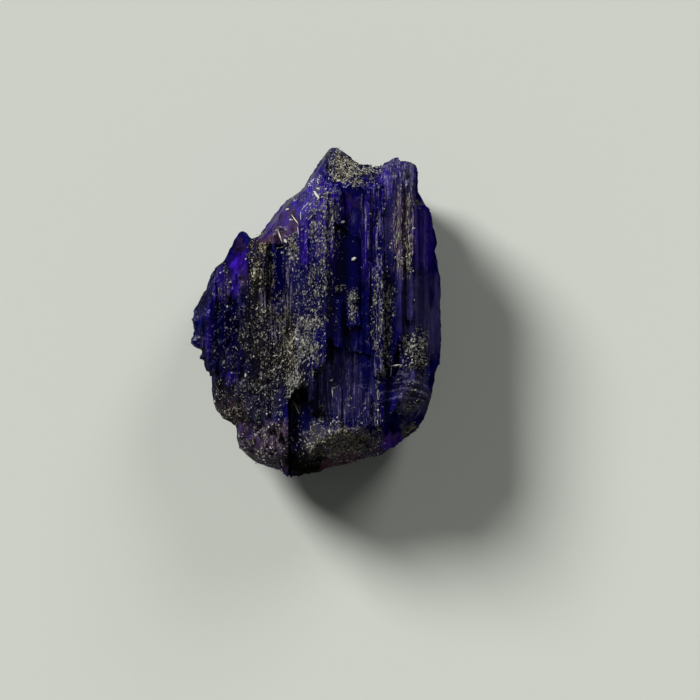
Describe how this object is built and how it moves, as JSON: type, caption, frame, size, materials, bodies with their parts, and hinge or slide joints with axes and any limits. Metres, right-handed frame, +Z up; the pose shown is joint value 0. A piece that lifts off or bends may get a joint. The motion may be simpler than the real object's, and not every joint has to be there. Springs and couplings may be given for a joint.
{
  "type": "rough tanzanite",
  "caption": "Rough violet-blue tanzanite crystal fragment with parallel striated columns, broken ends and pale mineral crust, lying on a flat cleavage face",
  "frame": {"origin": "middle of the stone's box, on the surface that it rests on", "axes": "+Y along the crystal's long axis, in which it is striated, +X to the right of the striated face as seen from above, +Z up, out of that face"},
  "size_m": [0.0138, 0.0186, 0.0085],
  "materials": {
    "tanzanite": "deep violet-blue clear crystal, glossy on fresh faces and dusted with pale mineral crust"
  },
  "bodies": {
    "root": {"tanzanite_crystal": "tanzanite"}
  },
  "joints": []
}
